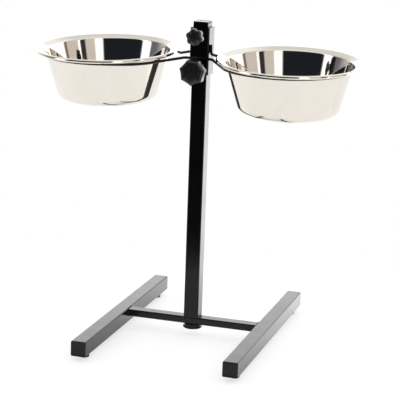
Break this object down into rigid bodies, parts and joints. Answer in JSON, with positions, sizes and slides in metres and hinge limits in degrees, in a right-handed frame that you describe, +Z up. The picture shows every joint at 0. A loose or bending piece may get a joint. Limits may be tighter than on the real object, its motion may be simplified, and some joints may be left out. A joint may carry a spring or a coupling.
{
  "type": "dog feeder stand",
  "caption": "Height-adjustable pet feeder stand: square column on an H-shaped base, sliding sleeve clamped by star knobs, wire rings holding lift-out steel bowls.",
  "frame": {"origin": "on the floor under the centre of the column", "axes": "+X along the crossbar towards the right bowl, +Y to the back, +Z up along the column"},
  "size_m": [0.54, 0.41, 0.527],
  "materials": {
    "black_lacquer": "semi-gloss black powder coat on steel",
    "black_plastic": "satin black moulded plastic",
    "black_rubber": "matt black rubber",
    "zinc_plated_steel": "bright zinc plating",
    "polished_stainless": "mirror-polished stainless steel"
  },
  "bodies": {
    "stand": {"left_foot_tube": "black_lacquer", "right_foot_tube": "black_lacquer", "crossbar": "black_lacquer", "column_tube": "black_lacquer", "column_base_insert": "black_plastic", "base_nut": "zinc_plated_steel", "base_bolt": "zinc_plated_steel", "base_bolt_head": "black_plastic", "base_washer": "black_lacquer", "column_top_cap": "black_plastic", "left_front_cap": "black_plastic", "left_rear_cap": "black_plastic", "right_front_cap": "black_plastic", "right_rear_cap": "black_plastic", "left_front_pad": "black_rubber", "left_rear_pad": "black_rubber", "right_front_pad": "black_rubber", "right_rear_pad": "black_rubber"},
    "slider": {"slider_sleeve": "black_lacquer", "upper_weld_nut": "black_lacquer", "lower_weld_nut": "black_lacquer", "left_ring_wire": "black_lacquer", "right_ring_wire": "black_lacquer"},
    "upper_screw": {"upper_clamp_stud": "zinc_plated_steel"},
    "lower_screw": {"lower_clamp_stud": "zinc_plated_steel"},
    "upper_knob": {"upper_star_knob": "black_plastic"},
    "lower_knob": {"lower_star_knob": "black_plastic"},
    "left_bowl": {"left_bowl": "polished_stainless"},
    "right_bowl": {"right_bowl": "polished_stainless"}
  },
  "joints": [
    {"name": "height_slide", "type": "slide", "parent": "stand", "child": "slider", "axis": [0, 0, 1], "range_m": [-0.34, 0.008]},
    {"name": "upper_screw_slide", "type": "slide", "parent": "slider", "child": "upper_screw", "axis": [0, -1, 0], "range_m": [0, 0.0014]},
    {"name": "lower_screw_slide", "type": "slide", "parent": "slider", "child": "lower_screw", "axis": [0, -1, 0], "range_m": [0, 0.0014]},
    {"name": "upper_knob_turn", "type": "hinge", "parent": "upper_screw", "child": "upper_knob", "pos_m": [0, -0.042, 0.5055], "axis": [0, -1, 0], "range_deg": [0, 360]},
    {"name": "lower_knob_turn", "type": "hinge", "parent": "lower_screw", "child": "lower_knob", "pos_m": [0, -0.048, 0.45], "axis": [0, -1, 0], "range_deg": [0, 360]},
    {"name": "left_bowl_lift", "type": "slide", "parent": "slider", "child": "left_bowl", "axis": [0, 0, 1], "range_m": [0, 0.12]},
    {"name": "right_bowl_lift", "type": "slide", "parent": "slider", "child": "right_bowl", "axis": [0, 0, 1], "range_m": [0, 0.12]}
  ],
  "couplings": [
    {"joint": "upper_screw_slide", "follows": "upper_knob_turn", "m_per_rad": 0.00019894},
    {"joint": "lower_screw_slide", "follows": "lower_knob_turn", "m_per_rad": 0.00019894}
  ]
}
